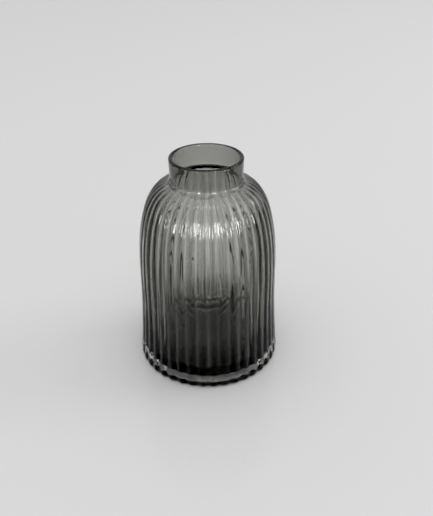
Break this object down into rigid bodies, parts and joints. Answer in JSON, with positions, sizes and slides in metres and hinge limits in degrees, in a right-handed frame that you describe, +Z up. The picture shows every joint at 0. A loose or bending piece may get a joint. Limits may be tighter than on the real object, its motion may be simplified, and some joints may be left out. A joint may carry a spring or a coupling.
{
  "type": "glass bud vase",
  "caption": "Small reeded bud vase of smoky grey glass, with round shoulders, a thick foot and a plain open collar for a few flower stems.",
  "frame": {"origin": "middle of the foot, on the surface that the vase stands on", "axes": "+Z up along the vase's axis, out of the mouth; X and Y alike, each through a groove between two reeds"},
  "size_m": [0.0798, 0.0798, 0.12],
  "materials": {
    "smoky_glass": "clear smoky grey glass, fire polished, darkest where it is thick"
  },
  "bodies": {
    "root": {"foot": "smoky_glass", "body": "smoky_glass", "collar": "smoky_glass"}
  },
  "joints": []
}
